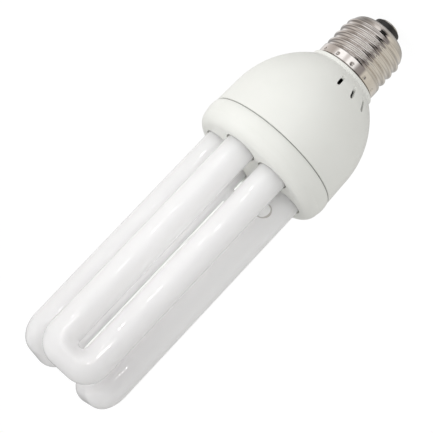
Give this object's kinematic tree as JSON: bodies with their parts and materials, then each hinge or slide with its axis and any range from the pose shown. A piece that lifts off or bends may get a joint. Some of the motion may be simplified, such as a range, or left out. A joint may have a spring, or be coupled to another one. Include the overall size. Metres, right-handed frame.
{
  "type": "compact fluorescent lamp",
  "caption": "Compact fluorescent lamp with U-bent white tubes, a rounded white ballast housing and an E27 screw cap, giving light for an animal enclosure.",
  "frame": {"origin": "middle of the centre contact's outer face, the lowest point of the lamp", "axes": "+Z along the lamp's axis from the cap towards the ends of the tubes, -Y square to the plane of the front U"},
  "size_m": [0.0562, 0.0562, 0.1792],
  "materials": {
    "nickel_shell": "nickel plated, bright",
    "black_insulator": "gloss",
    "contact_metal": "satin",
    "white_housing": "semi-gloss",
    "coated_glass": "gloss glass, opaque white coating inside",
    "cement": "matte",
    "board": "matte",
    "ferrite": "matte",
    "copper_wire": "enamelled",
    "black_plastic": "matte",
    "capacitor_sleeve": "gloss",
    "film_capacitor": "gloss",
    "resistor_body": "lacquered",
    "tinned_wire": "bright"
  },
  "bodies": {
    "root": {"screw_shell": "nickel_shell", "cap_insulator": "black_insulator", "centre_contact": "contact_metal", "upper_housing": "white_housing", "lower_housing": "white_housing", "discharge_tube": "coated_glass", "tube_cement": "cement", "circuit_board": "board", "smoothing_capacitor": "capacitor_sleeve", "choke_cores": "ferrite", "choke_bobbin": "black_plastic", "choke_winding": "copper_wire", "ring_core": "ferrite", "ring_windings": "copper_wire", "switching_transistors": "black_plastic", "rectifier_diodes": "black_plastic", "filter_core": "ferrite", "filter_winding": "copper_wire", "tube_capacitor": "film_capacitor", "coupling_capacitor": "film_capacitor", "snubber_capacitor": "film_capacitor", "trigger_diac": "black_plastic", "base_resistors": "resistor_body", "fuse_resistor": "resistor_body", "wrap_pins": "tinned_wire", "filament_leads": "tinned_wire", "contact_lead": "tinned_wire", "shell_lead": "tinned_wire"}
  },
  "joints": []
}
